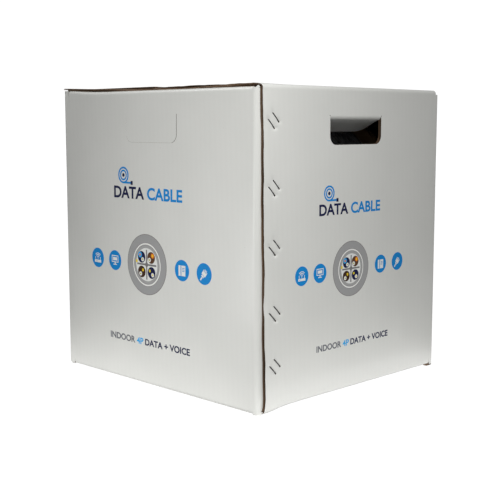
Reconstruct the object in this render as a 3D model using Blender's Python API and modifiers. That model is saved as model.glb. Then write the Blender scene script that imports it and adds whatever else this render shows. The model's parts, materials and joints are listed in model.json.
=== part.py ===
"""Cable spool box: a corrugated carton that holds a reel of cable on a tube axle.

Frame: metres, +Z up, origin at the centre of the base. The front wall faces -Y and the right
wall faces +X. The reel turns about an axle along Y.
"""

import math

import bmesh
import bpy
from mathutils import Matrix, Vector

# Carton, outside sizes
FRONT_WIDTH = 0.350  # front and back walls, along X
SIDE_WIDTH = 0.316  # right and left walls, along Y
HEIGHT = 0.350
BOARD = 0.004  # single-wall board with C flute
GAP = 0.0003  # clearance between pieces that touch

# Creases of the top flaps: each flap turns about the middle of its board's corner
FLAP_ROOT = BOARD / 2 + GAP  # from the hinge axis to the flap's first edge
CREASE_SWEEP = math.hypot(FLAP_ROOT, BOARD / 2) + GAP
OUTER_FLAP_INSET = 0.004  # side slot between neighbouring flaps
BOTTOM_FLAP_INSET = 0.0115  # the same at the floor, where the near corner's bend comes down
INNER_FLAP_LENGTH = 0.116
INNER_FLAP_HALF_ROOT = 0.165
INNER_FLAP_TAPER = 0.53  # how fast an inner flap narrows, per metre of its length

# The front wall bends round the near corner and goes on as a tab behind the right wall
BEND_RADIUS = 0.007
TAB_LENGTH = 0.036
RAW_EDGE = 0.0042  # the right wall's cut edge stands back this far from the front face

# Hand holes: straight top edge, rounded lower corners
HOLE_WIDTH = 0.091
HOLE_HEIGHT = 0.0325
HOLE_RADIUS = 0.010
HOLE_SLIT = 0.0006  # all round each hand flap
FRONT_HOLE = (-0.0017, 0.2876)  # along X from the wall's centre, and height of the lower edge
SIDE_HOLE = (-0.0038, 0.2858)
PUSHED_IN = math.radians(60)  # the right wall's hand flap stands open

# Wire stitches through the right wall and the tab, in slanting pairs
STITCH_CROWN = 0.0127
STITCH_WIRE = 0.0009
STITCH_SLOPE = math.radians(45)
# The middle of each pair's upper stitch, from the front face and from the floor
STITCH_PAIRS = ((0.0221, 0.3161), (0.0229, 0.2462), (0.0237, 0.1832), (0.0246, 0.1123), (0.0253, 0.0547))
STITCH_LOWER = (-0.0067, -0.0067)  # from the upper stitch's middle to the lower one's

# Reel, axle and supports
AXLE_HEIGHT = 0.175
AXLE_RADIUS = 0.020
AXLE_WALL = 0.004
AXLE_LENGTH = 0.304
FLANGE_RADIUS = 0.161
FLANGE = 0.009
FLANGE_FACE = 0.118  # outer face of each flange, from the middle
BORE_RADIUS = 0.021
CORE_RADIUS = 0.050
CORE_WALL = 0.005
WINDING_RADIUS = 0.150
CABLE_DIAMETER = 0.007
SUPPORT_HALF_WIDTH = 0.120
SUPPORT_DEPTH = 0.0215  # from the wall's inside to the web's far face
SUPPORT_TOP = 0.250

# Tie bolts, M6
BOLT_COUNT = 3
BOLT_CIRCLE = 0.038
BOLT_RADIUS = 0.003
BOLT_HOLE = 0.0035
BOLT_TIP = 0.127
HEAD_RADIUS = 0.008
HEAD_HEIGHT = 0.0035
WASHER_RADIUS = 0.009
WASHER = 0.0016
NUT_ACROSS_CORNERS = 0.01155
NUT = 0.005

# Cable end
LAST_TURN_ARC = (math.radians(20), math.radians(125))
LAST_TURN_Y = 0.018
TAPE_WIDTH = 0.024
TAPE_REACH = 0.026
TAPE = 0.0005

FRONT_Y = -SIDE_WIDTH / 2
BACK_Y = SIDE_WIDTH / 2
RIGHT_X = FRONT_WIDTH / 2
OUTER_AXIS_X = RIGHT_X - BOARD / 2
OUTER_AXIS_Z = HEIGHT - BOARD / 2
INNER_AXIS_Y = BACK_Y - BOARD / 2
INNER_AXIS_Z = OUTER_AXIS_Z - BOARD - GAP

COLOURS = {
    "white_board": ((0.60, 0.60, 0.58), 0.38, 0.0),
    "kraft_board": ((0.36, 0.22, 0.12), 0.85, 0.0),
    "plywood": ((0.55, 0.38, 0.22), 0.60, 0.0),
    "tube_board": ((0.33, 0.21, 0.12), 0.80, 0.0),
    "cable_jacket": ((0.34, 0.35, 0.36), 0.45, 0.0),
    "steel": ((0.60, 0.60, 0.62), 0.35, 1.0),
    "tape": ((0.62, 0.50, 0.30), 0.30, 0.0),
}


def clear_scene():
    for obj in list(bpy.data.objects):
        bpy.data.objects.remove(obj, do_unlink=True)


def new_collection(name):
    collection = bpy.data.collections.new(name)
    bpy.context.scene.collection.children.link(collection)
    return collection


def dress(obj, colour):
    """Gives the object its own Principled material."""
    base, roughness, metallic = COLOURS[colour]
    surface = bpy.data.materials.new(f"{obj.name}_{colour}")
    surface.use_nodes = True
    shader = surface.node_tree.nodes["Principled BSDF"]
    shader.inputs["Base Color"].default_value = (*base, 1.0)
    shader.inputs["Roughness"].default_value = roughness
    shader.inputs["Metallic"].default_value = metallic
    obj.data.materials.clear()
    obj.data.materials.append(surface)


def arc(centre, radius, start, end, steps):
    """Points on a circle from one angle to another, both ends included."""
    angles = [start + (end - start) * i / steps for i in range(steps + 1)]
    return [(centre[0] + radius * math.cos(a), centre[1] + radius * math.sin(a)) for a in angles]


def circle(radius, steps, centre=(0.0, 0.0)):
    return arc(centre, radius, 0.0, 2 * math.pi, steps)[:-1]


def rectangle(low, high):
    return [(low[0], low[1]), (high[0], low[1]), (high[0], high[1]), (low[0], high[1])]


def plate(name, outlines, thickness, matrix, colour, where):
    """A flat piece: the first outline is its edge and the others are holes in it."""
    curve = bpy.data.curves.new(name, "CURVE")
    curve.dimensions = "2D"
    curve.fill_mode = "BOTH"
    curve.extrude = thickness / 2
    for points in outlines:
        spline = curve.splines.new("POLY")
        spline.points.add(len(points) - 1)
        for point, (x, y) in zip(spline.points, points):
            point.co = (x, y, 0.0, 1.0)
        spline.use_cyclic_u = True
    obj = bpy.data.objects.new(name, curve)
    obj.matrix_world = matrix
    where.objects.link(obj)
    dress(obj, colour)
    return obj


def turned(name, profile, matrix, colour, where, steps=64):
    """A closed profile of (radius, height) points, turned about the local Z axis."""
    mesh = bpy.data.meshes.new(name)
    edges = [(i, (i + 1) % len(profile)) for i in range(len(profile))]
    if profile[0][0] == 0.0:
        edges.pop()
    mesh.from_pydata([(r, 0.0, z) for r, z in profile], edges, [])
    obj = bpy.data.objects.new(name, mesh)
    obj.matrix_world = matrix
    where.objects.link(obj)
    screw = obj.modifiers.new("turn", "SCREW")
    screw.steps = steps
    screw.render_steps = steps
    screw.use_merge_vertices = True
    screw.merge_threshold = 0.00001
    dress(obj, colour)
    return obj


def wire(name, points, radius, colour, where):
    """A round wire or cable along the points, with closed ends."""
    curve = bpy.data.curves.new(name, "CURVE")
    curve.dimensions = "3D"
    curve.bevel_depth = radius
    curve.bevel_resolution = 2
    curve.use_fill_caps = True
    spline = curve.splines.new("POLY")
    spline.points.add(len(points) - 1)
    for point, place in zip(spline.points, points):
        point.co = (*place, 1.0)
    obj = bpy.data.objects.new(name, curve)
    where.objects.link(obj)
    dress(obj, colour)
    return obj


def as_mesh(obj, where):
    """Turns a curve object into a welded mesh object of the same name, ready for a Boolean."""
    name, colour = obj.name, obj.data.materials[0]
    bpy.context.view_layer.update()
    mesh = bpy.data.meshes.new_from_object(obj.evaluated_get(bpy.context.evaluated_depsgraph_get()))
    bm = bmesh.new()
    bm.from_mesh(mesh)
    bmesh.ops.remove_doubles(bm, verts=bm.verts, dist=0.00001)
    bm.to_mesh(mesh)
    bm.free()
    matrix = obj.matrix_world.copy()
    bpy.data.objects.remove(obj, do_unlink=True)
    solid = bpy.data.objects.new(name, mesh)
    solid.matrix_world = matrix
    where.objects.link(solid)
    mesh.materials.clear()
    mesh.materials.append(colour)
    return solid


def cut(obj, cutter):
    boolean = obj.modifiers.new("cut", "BOOLEAN")
    boolean.operation = "DIFFERENCE"
    boolean.object = cutter


def hide_cutter(cutter):
    cutter.hide_render = True
    cutter.display_type = "WIRE"


def box_cutter(name, low, high, cutters):
    """A block between two corners, for cutting with."""
    low, high = Vector(low), Vector(high)
    mesh = bpy.data.meshes.new(name)
    bm = bmesh.new()
    matrix = Matrix.Translation((low + high) / 2) @ Matrix.Diagonal((*(high - low), 1.0))
    bmesh.ops.create_cube(bm, size=1.0, matrix=matrix)
    bm.to_mesh(mesh)
    bm.free()
    block = bpy.data.objects.new(name, mesh)
    cutters.objects.link(block)
    hide_cutter(block)
    return block


def hold(obj, name, location, where):
    """Parents a moving piece to an empty on its joint's axis, and leaves it in its place."""
    pivot = bpy.data.objects.new(name, None)
    pivot.empty_display_size = 0.02
    pivot.matrix_world = Matrix.Translation(location)
    where.objects.link(pivot)
    obj.parent = pivot
    obj.matrix_parent_inverse = pivot.matrix_world.inverted()
    return pivot


def upright(x, y, turn):
    """Matrix of a sheet that stands upright: its local X runs along the wall and Y runs up."""
    stand = Matrix.Rotation(math.pi / 2, 4, "X")
    return Matrix.Translation((x, y, 0.0)) @ Matrix.Rotation(turn, 4, "Z") @ stand


def lying(z):
    return Matrix.Translation((0.0, 0.0, z))


def hole_outline(hole, shrink=0.0):
    """Outline of a hand hole, or of its flap when shrunk by the slit's width."""
    middle, low = hole
    half = HOLE_WIDTH / 2 - shrink
    top = low + HOLE_HEIGHT - shrink
    bottom = low + shrink
    radius = HOLE_RADIUS - shrink
    right = arc((middle + half - radius, bottom + radius), radius, -math.pi / 2, 0.0, 6)
    left = arc((middle - half + radius, bottom + radius), radius, math.pi, 1.5 * math.pi, 6)
    return [(middle + half, top), (middle - half, top)] + left + right


# A wall's own frame: local X to the right as seen from outside, local Y up, turned about +Z
WALLS = {
    "front": (0.0, FRONT_Y + BOARD / 2, 0.0, FRONT_HOLE),
    "right": (RIGHT_X - BOARD / 2, 0.0, math.pi / 2, SIDE_HOLE),
    "back": (0.0, BACK_Y - BOARD / 2, math.pi, FRONT_HOLE),
    "left": (-RIGHT_X + BOARD / 2, 0.0, -math.pi / 2, SIDE_HOLE),
}


def make_walls(where):
    """Four flat walls. The tops stop short of the creases, where the flaps turn."""
    side_top = OUTER_AXIS_Z - CREASE_SWEEP
    end_top = INNER_AXIS_Z - CREASE_SWEEP
    side_low = BOARD + GAP
    inside = SIDE_WIDTH / 2 - BOARD - GAP
    spans = {
        "front": ((-FRONT_WIDTH / 2, 0.0), (RIGHT_X - BOARD - GAP - BEND_RADIUS - GAP, end_top)),
        "right": ((-SIDE_WIDTH / 2 + RAW_EDGE, side_low), (inside, side_top)),
        "back": ((-FRONT_WIDTH / 2, 0.0), (FRONT_WIDTH / 2, end_top)),
        "left": ((-inside, side_low), (inside, side_top)),
    }
    walls = {}
    for side, (x, y, turn, hole) in WALLS.items():
        outlines = [rectangle(*spans[side]), hole_outline(hole)]
        sheet = plate(f"{side}_wall", outlines, BOARD, upright(x, y, turn), "white_board", where)
        walls[side] = sheet
    return walls


def make_tab(where, cutters):
    """The board's bend round the near corner and the tab behind the right wall.

    The bend goes down to the floor, but the tab stops above the bottom flaps.
    """
    centre = (RIGHT_X - BOARD - GAP - BEND_RADIUS, FRONT_Y + BEND_RADIUS)
    inner = BEND_RADIUS - BOARD
    end_y = centre[1] + TAB_LENGTH
    outer_side = arc(centre, BEND_RADIUS, -math.pi / 2, 0.0, 10) + [(centre[0] + BEND_RADIUS, end_y)]
    inner_side = [(centre[0] + inner, end_y)] + arc(centre, inner, 0.0, -math.pi / 2, 10)
    high = INNER_AXIS_Z - CREASE_SWEEP
    tab = plate("stitch_tab", [outer_side + inner_side], high, lying(high / 2), "white_board", where)
    tab = as_mesh(tab, where)
    foot_low = (centre[0], centre[1] - GAP, -BOARD)
    foot_high = (RIGHT_X, end_y + BOARD, 2 * BOARD + 3 * GAP)
    cut(tab, box_cutter("tab_foot", foot_low, foot_high, cutters))
    return tab


def stitch_places():
    """Name, and the middle of each stitch on the right wall as (y, z)."""
    for row, (back, height) in enumerate(STITCH_PAIRS, start=1):
        y = FRONT_Y + back
        yield f"stitch_{row}_upper", y, height
        yield f"stitch_{row}_lower", y + STITCH_LOWER[0], height + STITCH_LOWER[1]


def stitch_along(y, z, distance):
    """A point on the stitch's slanting line: it runs down to the right."""
    return y + distance * math.cos(STITCH_SLOPE), z - distance * math.sin(STITCH_SLOPE)


def make_stitches(wall, tab, where, cutters):
    """Bent wires through both boards, each in the slot that its wire has pressed."""
    half = STITCH_CROWN / 2
    face = RIGHT_X - STITCH_WIRE / 2
    inside = RIGHT_X - 2 * BOARD - 2 * GAP - STITCH_WIRE / 2
    bm = bmesh.new()
    for name, y, z in stitch_places():
        ends = [stitch_along(y, z, d) for d in (-half, half)]
        tips = [stitch_along(y, z, d) for d in (-half / 3, half / 3)]
        route = [
            (inside, *tips[0]), (inside, *ends[0]), (face, *ends[0]),
            (face, *ends[1]), (inside, *ends[1]), (inside, *tips[1]),
        ]
        wire(name, route, STITCH_WIRE / 2, "steel", where)
        turn = Matrix.Rotation(STITCH_SLOPE, 4, "X")
        size = Matrix.Diagonal((3 * BOARD, STITCH_WIRE + 4 * GAP, STITCH_CROWN + 8 * GAP, 1.0))
        matrix = Matrix.Translation((RIGHT_X - BOARD, y, z)) @ turn @ size
        bmesh.ops.create_cube(bm, size=1.0, matrix=matrix)
    mesh = bpy.data.meshes.new("stitch_slots")
    bm.to_mesh(mesh)
    bm.free()
    slots = bpy.data.objects.new("stitch_slots", mesh)
    cutters.objects.link(slots)
    hide_cutter(slots)
    cut(as_mesh(wall, where), slots)
    cut(tab, slots)


def make_outer_flaps(where):
    """The two top flaps that hinge on the right and left walls and meet in the middle."""
    back = BACK_Y - OUTER_FLAP_INSET
    fronts = {"right": FRONT_Y + RAW_EDGE, "left": FRONT_Y + OUTER_FLAP_INSET}
    root = OUTER_AXIS_X - FLAP_ROOT
    for side, sign in (("right", 1), ("left", -1)):
        ends = sorted((sign * GAP, sign * root))
        outline = rectangle((ends[0], fronts[side]), (ends[1], back))
        flap = plate(f"top_flap_{side}", [outline], BOARD, lying(OUTER_AXIS_Z), "white_board", where)
        hold(flap, f"pivot_top_flap_{side}", (sign * OUTER_AXIS_X, 0.0, OUTER_AXIS_Z), where)


def make_inner_flaps(where):
    """The two top flaps under them narrow towards their tips, to clear the outer flaps' paths."""
    root = INNER_AXIS_Y - FLAP_ROOT
    tip = root - INNER_FLAP_LENGTH
    half_tip = INNER_FLAP_HALF_ROOT - INNER_FLAP_TAPER * INNER_FLAP_LENGTH
    for side, sign in (("front", -1), ("back", 1)):
        outline = [
            (-INNER_FLAP_HALF_ROOT, sign * root), (INNER_FLAP_HALF_ROOT, sign * root),
            (half_tip, sign * tip), (-half_tip, sign * tip),
        ]
        flap = plate(f"top_flap_{side}", [outline], BOARD, lying(INNER_AXIS_Z), "white_board", where)
        hold(flap, f"pivot_top_flap_{side}", (0.0, sign * INNER_AXIS_Y, INNER_AXIS_Z), where)


def make_bottom_flaps(where):
    """Glued shut: the front and back flaps lie outside, the right and left ones on top of them."""
    side_x = RIGHT_X - BOARD - GAP
    end_y = BACK_Y - BOARD - GAP
    outer_z = BOARD / 2
    inner_z = outer_z + BOARD + GAP
    half_x = RIGHT_X - BOTTOM_FLAP_INSET
    half_y = end_y - OUTER_FLAP_INSET
    sheets = {
        "front": (outer_z, rectangle((-half_x, -end_y), (half_x, -GAP))),
        "back": (outer_z, rectangle((-half_x, GAP), (half_x, end_y))),
        "right": (inner_z, rectangle((GAP, -half_y), (side_x, half_y))),
        "left": (inner_z, rectangle((-side_x, -half_y), (-GAP, half_y))),
    }
    for side, (z, outline) in sheets.items():
        plate(f"bottom_flap_{side}", [outline], BOARD, lying(z), "white_board", where)


def make_hand_flaps(where):
    """A flap in each hand hole, hinged on the wall's inside along the hole's top edge."""
    for side, (x, y, turn, hole) in WALLS.items():
        matrix = upright(x, y, turn)
        outline = hole_outline(hole, HOLE_SLIT)
        flap = plate(f"hand_flap_{side}", [outline], BOARD, matrix, "white_board", where)
        hinge = matrix @ Vector((hole[0], hole[1] + HOLE_HEIGHT, -BOARD / 2))
        pivot = hold(flap, f"pivot_hand_flap_{side}", hinge, where)
        if side == "right":
            pivot.rotation_euler = (0.0, PUSHED_IN, 0.0)


def make_supports(where, cutters):
    """Two folded boards, each a web with two wings, that carry the axle near the end walls."""
    wall = BACK_Y - BOARD - GAP
    web = wall + GAP - SUPPORT_DEPTH
    half = SUPPORT_HALF_WIDTH
    low = 2 * BOARD + 3 * GAP
    shape = [
        (-half, wall), (-half, web), (half, web), (half, wall),
        (half - BOARD, wall), (half - BOARD, web + BOARD),
        (-half + BOARD, web + BOARD), (-half + BOARD, wall),
    ]
    along_y = Matrix.Translation((0.0, 0.0, AXLE_HEIGHT)) @ Matrix.Rotation(math.pi / 2, 4, "X")
    hole = plate("axle_cutter", [circle(BORE_RADIUS, 48)], SIDE_WIDTH, along_y, "steel", cutters)
    hole = as_mesh(hole, cutters)
    hide_cutter(hole)
    for side, turn in (("front", math.pi), ("back", 0.0)):
        matrix = lying((low + SUPPORT_TOP) / 2) @ Matrix.Rotation(turn, 4, "Z")
        name = f"axle_support_{side}"
        board = plate(name, [shape], SUPPORT_TOP - low, matrix, "kraft_board", where)
        cut(as_mesh(board, where), hole)


def on_axle(y=0.0):
    """Local Z along the axle, from its middle towards the front."""
    return Matrix.Translation((0.0, y, AXLE_HEIGHT)) @ Matrix.Rotation(math.pi / 2, 4, "X")


def tube_profile(outer, inner, half_length):
    return [(outer, half_length), (outer, -half_length), (inner, -half_length), (inner, half_length)]


def bolt_centres():
    angles = [math.pi / 2 + 2 * math.pi * i / BOLT_COUNT for i in range(BOLT_COUNT)]
    return [(BOLT_CIRCLE * math.cos(a), BOLT_CIRCLE * math.sin(a)) for a in angles]


def make_reel(where):
    """Flanges, core and winding. They turn together on the axle."""
    core_half = FLANGE_FACE - FLANGE - GAP
    winding_half = core_half - GAP
    holes = [circle(BORE_RADIUS, 48)] + [circle(BOLT_HOLE, 16, c) for c in bolt_centres()]
    pieces = []
    for side, sign in (("front", -1), ("back", 1)):
        outlines = [circle(FLANGE_RADIUS, 96)] + holes
        matrix = on_axle(sign * (FLANGE_FACE - FLANGE / 2))
        pieces.append(plate(f"reel_flange_{side}", outlines, FLANGE, matrix, "plywood", where))
    core = tube_profile(CORE_RADIUS, CORE_RADIUS - CORE_WALL, core_half)
    pieces.append(turned("reel_core", core, on_axle(), "tube_board", where))
    winding = tube_profile(WINDING_RADIUS, CORE_RADIUS + GAP, winding_half)
    pieces.append(turned("cable_winding", winding, on_axle(), "cable_jacket", where, 96))
    return pieces


def make_tie_bolts(where):
    """Round-headed bolts from the back, with a washer and a nut at the front."""
    head = FLANGE_FACE + GAP
    bolt = [(0.0, head + HEAD_HEIGHT), (0.6 * HEAD_RADIUS, head + 0.8 * HEAD_HEIGHT)]
    bolt += [(HEAD_RADIUS, head + 0.3 * HEAD_HEIGHT), (HEAD_RADIUS, head), (BOLT_RADIUS, head)]
    bolt += [(BOLT_RADIUS, -BOLT_TIP), (0.0, -BOLT_TIP)]
    washer_y = -FLANGE_FACE - GAP - WASHER / 2
    nut_y = washer_y - WASHER / 2 - GAP - NUT / 2
    bore = circle(BOLT_HOLE, 16)
    pieces = []
    for i, (x, z) in enumerate(bolt_centres(), start=1):
        offset = Matrix.Translation((x, 0.0, z))
        towards_back = Matrix.Translation((0.0, 0.0, AXLE_HEIGHT)) @ Matrix.Rotation(-math.pi / 2, 4, "X")
        pieces.append(turned(f"tie_bolt_{i}", bolt, offset @ towards_back, "steel", where, 16))
        washer = [circle(WASHER_RADIUS, 32), bore]
        pieces.append(plate(f"tie_washer_{i}", washer, WASHER, offset @ on_axle(washer_y), "steel", where))
        nut = [circle(NUT_ACROSS_CORNERS / 2, 6), bore]
        pieces.append(plate(f"tie_nut_{i}", nut, NUT, offset @ on_axle(nut_y), "steel", where))
    return pieces


def make_cable_end(where):
    """The last part of a turn lies on the winding, and a strip of tape holds its end."""
    radius = WINDING_RADIUS + GAP + CABLE_DIAMETER / 2
    start, end = LAST_TURN_ARC
    route = [(x, LAST_TURN_Y, AXLE_HEIGHT + z) for x, z in arc((0.0, 0.0), radius, start, end, 30)]
    last_turn = wire("cable_last_turn", route, CABLE_DIAMETER / 2, "cable_jacket", where)
    low = WINDING_RADIUS + GAP
    high = radius + CABLE_DIAMETER / 2 + GAP
    side = CABLE_DIAMETER / 2 + 2 * GAP
    over = [(-TAPE_REACH, low), (-1.6 * side, low), (-side, high), (side, high), (1.6 * side, low), (TAPE_REACH, low)]
    mesh = bpy.data.meshes.new("end_tape")
    bm = bmesh.new()
    corners = [bm.verts.new((-TAPE_WIDTH / 2, y, z)) for y, z in over]
    edges = [bm.edges.new(pair) for pair in zip(corners, corners[1:])]
    made = bmesh.ops.extrude_edge_only(bm, edges=edges)["geom"]
    moved = [v for v in made if isinstance(v, bmesh.types.BMVert)]
    bmesh.ops.translate(bm, verts=moved, vec=(TAPE_WIDTH, 0.0, 0.0))
    bmesh.ops.recalc_face_normals(bm, faces=bm.faces)
    bm.to_mesh(mesh)
    bm.free()
    tape = bpy.data.objects.new("end_tape", mesh)
    where.objects.link(tape)
    lean = Matrix.Rotation(math.pi / 2 - start - math.radians(6), 4, "Y")
    tape.matrix_world = Matrix.Translation((0.0, LAST_TURN_Y, AXLE_HEIGHT)) @ lean
    solid = tape.modifiers.new("thickness", "SOLIDIFY")
    solid.thickness = TAPE
    solid.offset = 1.0
    dress(tape, "tape")
    return [last_turn, tape]


def main():
    clear_scene()
    where = new_collection("cable_spool_box")
    cutters = new_collection("cutters")
    walls = make_walls(where)
    make_stitches(walls["right"], make_tab(where, cutters), where, cutters)
    make_outer_flaps(where)
    make_inner_flaps(where)
    make_bottom_flaps(where)
    make_hand_flaps(where)
    make_supports(where, cutters)
    axle = tube_profile(AXLE_RADIUS, AXLE_RADIUS - AXLE_WALL, AXLE_LENGTH / 2)
    turned("axle_tube", axle, on_axle(), "tube_board", where, 48)
    spin = bpy.data.objects.new("pivot_reel", None)
    spin.matrix_world = on_axle()
    where.objects.link(spin)
    for piece in make_reel(where) + make_tie_bolts(where) + make_cable_end(where):
        piece.parent = spin
        piece.matrix_parent_inverse = spin.matrix_world.inverted()
    bpy.context.view_layer.update()


main()
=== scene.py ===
import json
import math
import random
from functools import partial

import bpy
import numpy as np
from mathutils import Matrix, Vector, geometry, kdtree


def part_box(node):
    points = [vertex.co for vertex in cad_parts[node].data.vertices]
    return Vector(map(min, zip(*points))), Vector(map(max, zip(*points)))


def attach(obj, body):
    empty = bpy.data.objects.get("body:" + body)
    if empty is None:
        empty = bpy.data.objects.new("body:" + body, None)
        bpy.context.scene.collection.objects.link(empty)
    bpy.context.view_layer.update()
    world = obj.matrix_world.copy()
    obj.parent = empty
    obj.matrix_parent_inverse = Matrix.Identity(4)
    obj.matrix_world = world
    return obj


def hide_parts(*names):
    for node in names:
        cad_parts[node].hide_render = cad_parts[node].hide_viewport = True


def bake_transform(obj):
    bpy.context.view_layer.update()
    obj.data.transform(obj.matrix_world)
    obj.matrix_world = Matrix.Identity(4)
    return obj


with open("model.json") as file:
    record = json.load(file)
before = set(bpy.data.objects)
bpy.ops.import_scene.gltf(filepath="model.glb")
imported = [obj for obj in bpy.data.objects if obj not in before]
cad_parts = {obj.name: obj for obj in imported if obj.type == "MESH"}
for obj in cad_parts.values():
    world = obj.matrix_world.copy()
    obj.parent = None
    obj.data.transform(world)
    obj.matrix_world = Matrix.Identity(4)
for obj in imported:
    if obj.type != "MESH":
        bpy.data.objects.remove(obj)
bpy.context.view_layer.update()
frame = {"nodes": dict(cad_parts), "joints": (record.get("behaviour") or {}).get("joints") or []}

# The looks of the cable spool box. Metres, +Z up, the front wall faces -Y and the right wall +X.
# A board is drawn unrolled: s runs to the right as seen from outside, t runs up, and depth goes into
# the board from its printed face. A Side turns those three into a place.


# ---- sizes

def box(node):
    """The lowest and highest corner of a CAD node, as arrays."""
    low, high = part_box(node)
    return np.array(low), np.array(high)


HINGES = {joint["name"]: np.array(joint["pos_m"]) for joint in frame["joints"]}

HALF_WIDTH = box("right_wall")[1][0]
HALF_DEPTH = -box("front_wall")[0][1]
BOARD = box("front_wall")[1][1] - box("front_wall")[0][1]
INNER_TOP = box("top_flap_front")[1][2]
OUTER_TOP = box("top_flap_right")[1][2]
INNER_FLOOR = box("bottom_flap_right")[0][2]
AXLE_HEIGHT = float(HINGES["reel_spin"][2])
MIDDLE = 0.17
BULGE_TOP = 0.345

LINER = 0.0004
WAVE = 0.0079
WAVE_SHEET = 0.00025
WAVE_HEIGHT = (BOARD - 2 * LINER - WAVE_SHEET) / 2 - 0.00003
WAVE_DRIFT = 0.04

CORNER = 0.0045
OUTER_CREASE = 0.0046
INNER_CREASE = BOARD
TAB_BEND = 0.007
WRAP_PAST = 0.002
SLIT = 0.0003
EAR_GAP = 0.0006
QUARTER = math.pi / 2
GRID = 0.007
FINE = 0.0008
WAVE_GRID = 0.016

WHITE, KRAFT, CUT = 0, 1, 2
UP = np.array([0.0, 0.0, 1.0])


# ---- outlines and fills

def smooth(x):
    """0 below 0, 1 above 1, and a smooth step between."""
    x = np.clip(x, 0, 1)
    return x * x * (3 - 2 * x)


def hill(x, middle, width):
    return np.exp(-(((x - middle) / width) ** 2))


def rounded(points, radii, step=0.0008):
    """A closed outline with its corners turned into arcs. radii is one radius, or one for each corner."""
    points = [np.array(p, float) for p in points]
    radii = radii if hasattr(radii, "__len__") else [radii] * len(points)
    outline = []
    for i, (corner, radius) in enumerate(zip(points, radii)):
        back = points[i - 1] - corner
        ahead = points[(i + 1) % len(points)] - corner
        back, ahead = back / np.linalg.norm(back), ahead / np.linalg.norm(ahead)
        if radius <= 0 or np.linalg.norm(back + ahead) < 1e-3:
            outline.append(corner)
            continue
        half = math.acos(np.clip(back @ ahead, -1, 1)) / 2
        reach = radius / math.tan(half)
        centre = corner + (back + ahead) / np.linalg.norm(back + ahead) * radius / math.sin(half)
        start, end = corner + back * reach - centre, corner + ahead * reach - centre
        first = math.atan2(start[1], start[0])
        turn = (math.atan2(end[1], end[0]) - first + math.pi) % (2 * math.pi) - math.pi
        count = max(3, int(abs(turn) * radius / step))
        for k in range(count + 1):
            angle = first + turn * k / count
            outline.append(centre + radius * np.array([math.cos(angle), math.sin(angle)]))
    return np.array(outline)


def circle(s, t, radius, count=64):
    angle = np.arange(count) * 2 * math.pi / count
    return np.column_stack([s + radius * np.cos(angle), t + radius * np.sin(angle)])


def rectangle(s, t, width, height, turn=0.0):
    """A rectangle about (s, t), turned by turn radians."""
    half = np.array([[-1, -1], [1, -1], [1, 1], [-1, 1]]) * (width / 2, height / 2)
    c, d = math.cos(turn), math.sin(turn)
    return half @ np.array([[c, d], [-d, c]]) + (s, t)


def inside(points, loops):
    """True for each point that lies inside an odd number of the loops."""
    x, y = points.T
    odd = np.zeros(len(points), bool)
    for loop in loops:
        for (ax, ay), (bx, by) in zip(loop, np.roll(loop, -1, 0)):
            if ay != by:
                odd ^= ((ay > y) != (by > y)) & (x < ax + (y - ay) * (bx - ax) / (by - ay))
    return odd


def lines(low, high, step, *fine):
    """Grid lines from low to high, a step apart, and closer together in each stretch (from, to, step)."""
    marks = [np.linspace(low, high, max(2, round((high - low) / step) + 1))]
    for start, end, close in fine:
        marks.append(np.arange(max(start, low), min(end, high), close))
    marks = np.unique(np.round(np.concatenate(marks), 6))
    return marks[np.concatenate([[True], np.diff(marks) > 0.0002])]


def split(loop, s_lines, t_lines):
    """The loop with a point wherever an edge crosses a grid line."""
    out = []
    for a, b in zip(loop, np.roll(loop, -1, 0)):
        length = np.linalg.norm(b - a)
        cuts = []
        for axis, marks in ((0, s_lines), (1, t_lines)):
            low, high = sorted((a[axis], b[axis]))
            crossed = marks[(marks > low) & (marks < high)]
            cuts += list((crossed - a[axis]) / (b[axis] - a[axis])) if len(crossed) else []
        last = 0.0
        out.append(a)
        for cut in sorted(cuts):
            if (cut - last) * length > 1e-4 and (1 - cut) * length > 1e-4:
                out.append(a + (b - a) * cut)
                last = cut
    return np.array(out)


def fill(loops, s_lines, t_lines):
    """Points, triangles and rim edges that fill the loops, the first less the others, on a grid."""
    scale = np.array([np.median(np.diff(s_lines)), np.median(np.diff(t_lines))])
    loops = [split(np.array(loop, float), s_lines, t_lines) / scale for loop in loops]
    lattice = np.stack(np.meshgrid(s_lines, t_lines), -1).reshape(-1, 2) / scale
    lattice = lattice[inside(lattice, loops)]
    edge_points = np.concatenate(loops)
    tree = kdtree.KDTree(len(edge_points))
    for i, p in enumerate(edge_points):
        tree.insert((*p, 0), i)
    tree.balance()
    lattice = [p for p in lattice if tree.find((*p, 0))[2] > 0.3]
    edges, first = [], 0
    for loop in loops:
        edges += [(first + i, first + (i + 1) % len(loop)) for i in range(len(loop))]
        first += len(loop)
    seeds = [Vector(p) for p in edge_points] + [Vector(p) for p in lattice]
    made = geometry.delaunay_2d_cdt(seeds, edges, [], 0, 1e-7)
    points, triangles = np.array(made[0]), np.array(made[2])
    triangles = triangles[inside(points[triangles].mean(1), loops)]
    a, b, c = (points[triangles[:, i]] for i in range(3))
    area = (b - a)[:, 0] * (c - a)[:, 1] - (b - a)[:, 1] * (c - a)[:, 0]
    triangles[area < 0] = triangles[area < 0][:, ::-1]
    return points * scale, triangles, rim_of(triangles)


def rim_of(triangles):
    """The edges that only one triangle has, in that triangle's direction."""
    edges = np.vstack([triangles[:, [0, 1]], triangles[:, [1, 2]], triangles[:, [2, 0]]])
    _, index, uses = np.unique(np.sort(edges, 1), axis=0, return_index=True, return_counts=True)
    return edges[index[uses == 1]]


# ---- pieces

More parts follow.
